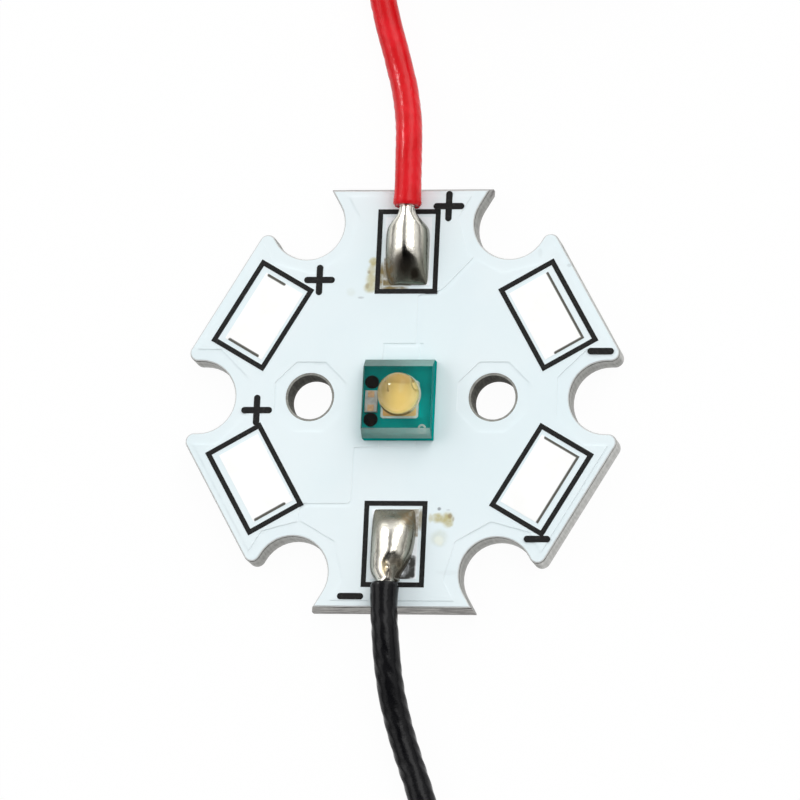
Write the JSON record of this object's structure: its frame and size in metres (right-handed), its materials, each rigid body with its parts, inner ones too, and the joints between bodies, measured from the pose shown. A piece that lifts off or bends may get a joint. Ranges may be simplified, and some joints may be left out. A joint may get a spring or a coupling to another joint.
{
  "type": "infrared led on star board",
  "caption": "Infrared emitter with a clear dome on a star-shaped aluminium board with notches, framed solder pads and red and black flying leads.",
  "frame": {"origin": "centre of the board's underside", "axes": "+Z out of the lit face, +Y towards the positive (red) lead"},
  "size_m": [0.0276, 0.0729, 0.0036],
  "materials": {
    "aluminium_base": "satin",
    "insulation": "matt",
    "copper": "satin",
    "solder_mask": "semi-gloss",
    "print_ink": "matt",
    "tinned_pad": "bright",
    "solder": "bright",
    "tinned_wire": "bright",
    "red_insulation": "semi-gloss",
    "black_insulation": "semi-gloss",
    "green_substrate": "semi-gloss",
    "gold_plating": "satin",
    "silver_plating": "satin",
    "die_attach": "matt",
    "die": "polished",
    "via_resin": "matt",
    "diode_body": "matt",
    "diode_copper": "matt",
    "clear_moulding": "clear"
  },
  "bodies": {
    "root": {"base_plate": "aluminium_base", "insulation": "insulation", "positive_copper": "copper", "negative_copper": "copper", "thermal_land": "copper", "solder_mask": "solder_mask", "pad_frames": "print_ink", "plus_signs": "print_ink", "minus_signs": "print_ink", "upper_right_pad": "tinned_pad", "upper_left_pad": "tinned_pad", "lower_left_pad": "tinned_pad", "lower_right_pad": "tinned_pad", "positive_end_pad": "tinned_pad", "negative_end_pad": "tinned_pad", "positive_joint": "solder", "negative_joint": "solder", "red_conductor": "tinned_wire", "black_conductor": "tinned_wire", "red_jacket": "red_insulation", "red_coil": "red_insulation", "red_tail": "red_insulation", "red_tip": "tinned_wire", "black_jacket": "black_insulation", "black_coil": "black_insulation", "black_tail": "black_insulation", "black_tip": "tinned_wire", "package_substrate": "green_substrate", "anode_terminal": "gold_plating", "cathode_terminal": "gold_plating", "thermal_terminal": "gold_plating", "anode_solder": "solder", "cathode_solder": "solder", "thermal_solder": "solder", "die_pad": "gold_plating", "die_pad_rim": "silver_plating", "bond_finger": "gold_plating", "die_attach": "die_attach", "emitter_die": "die", "bond_wires": "gold_plating", "upper_via_plug": "via_resin", "lower_via_plug": "via_resin", "protection_diode": "diode_body", "diode_contacts": "diode_copper", "ring_mark": "silver_plating", "dome_lens": "clear_moulding"}
  },
  "joints": []
}
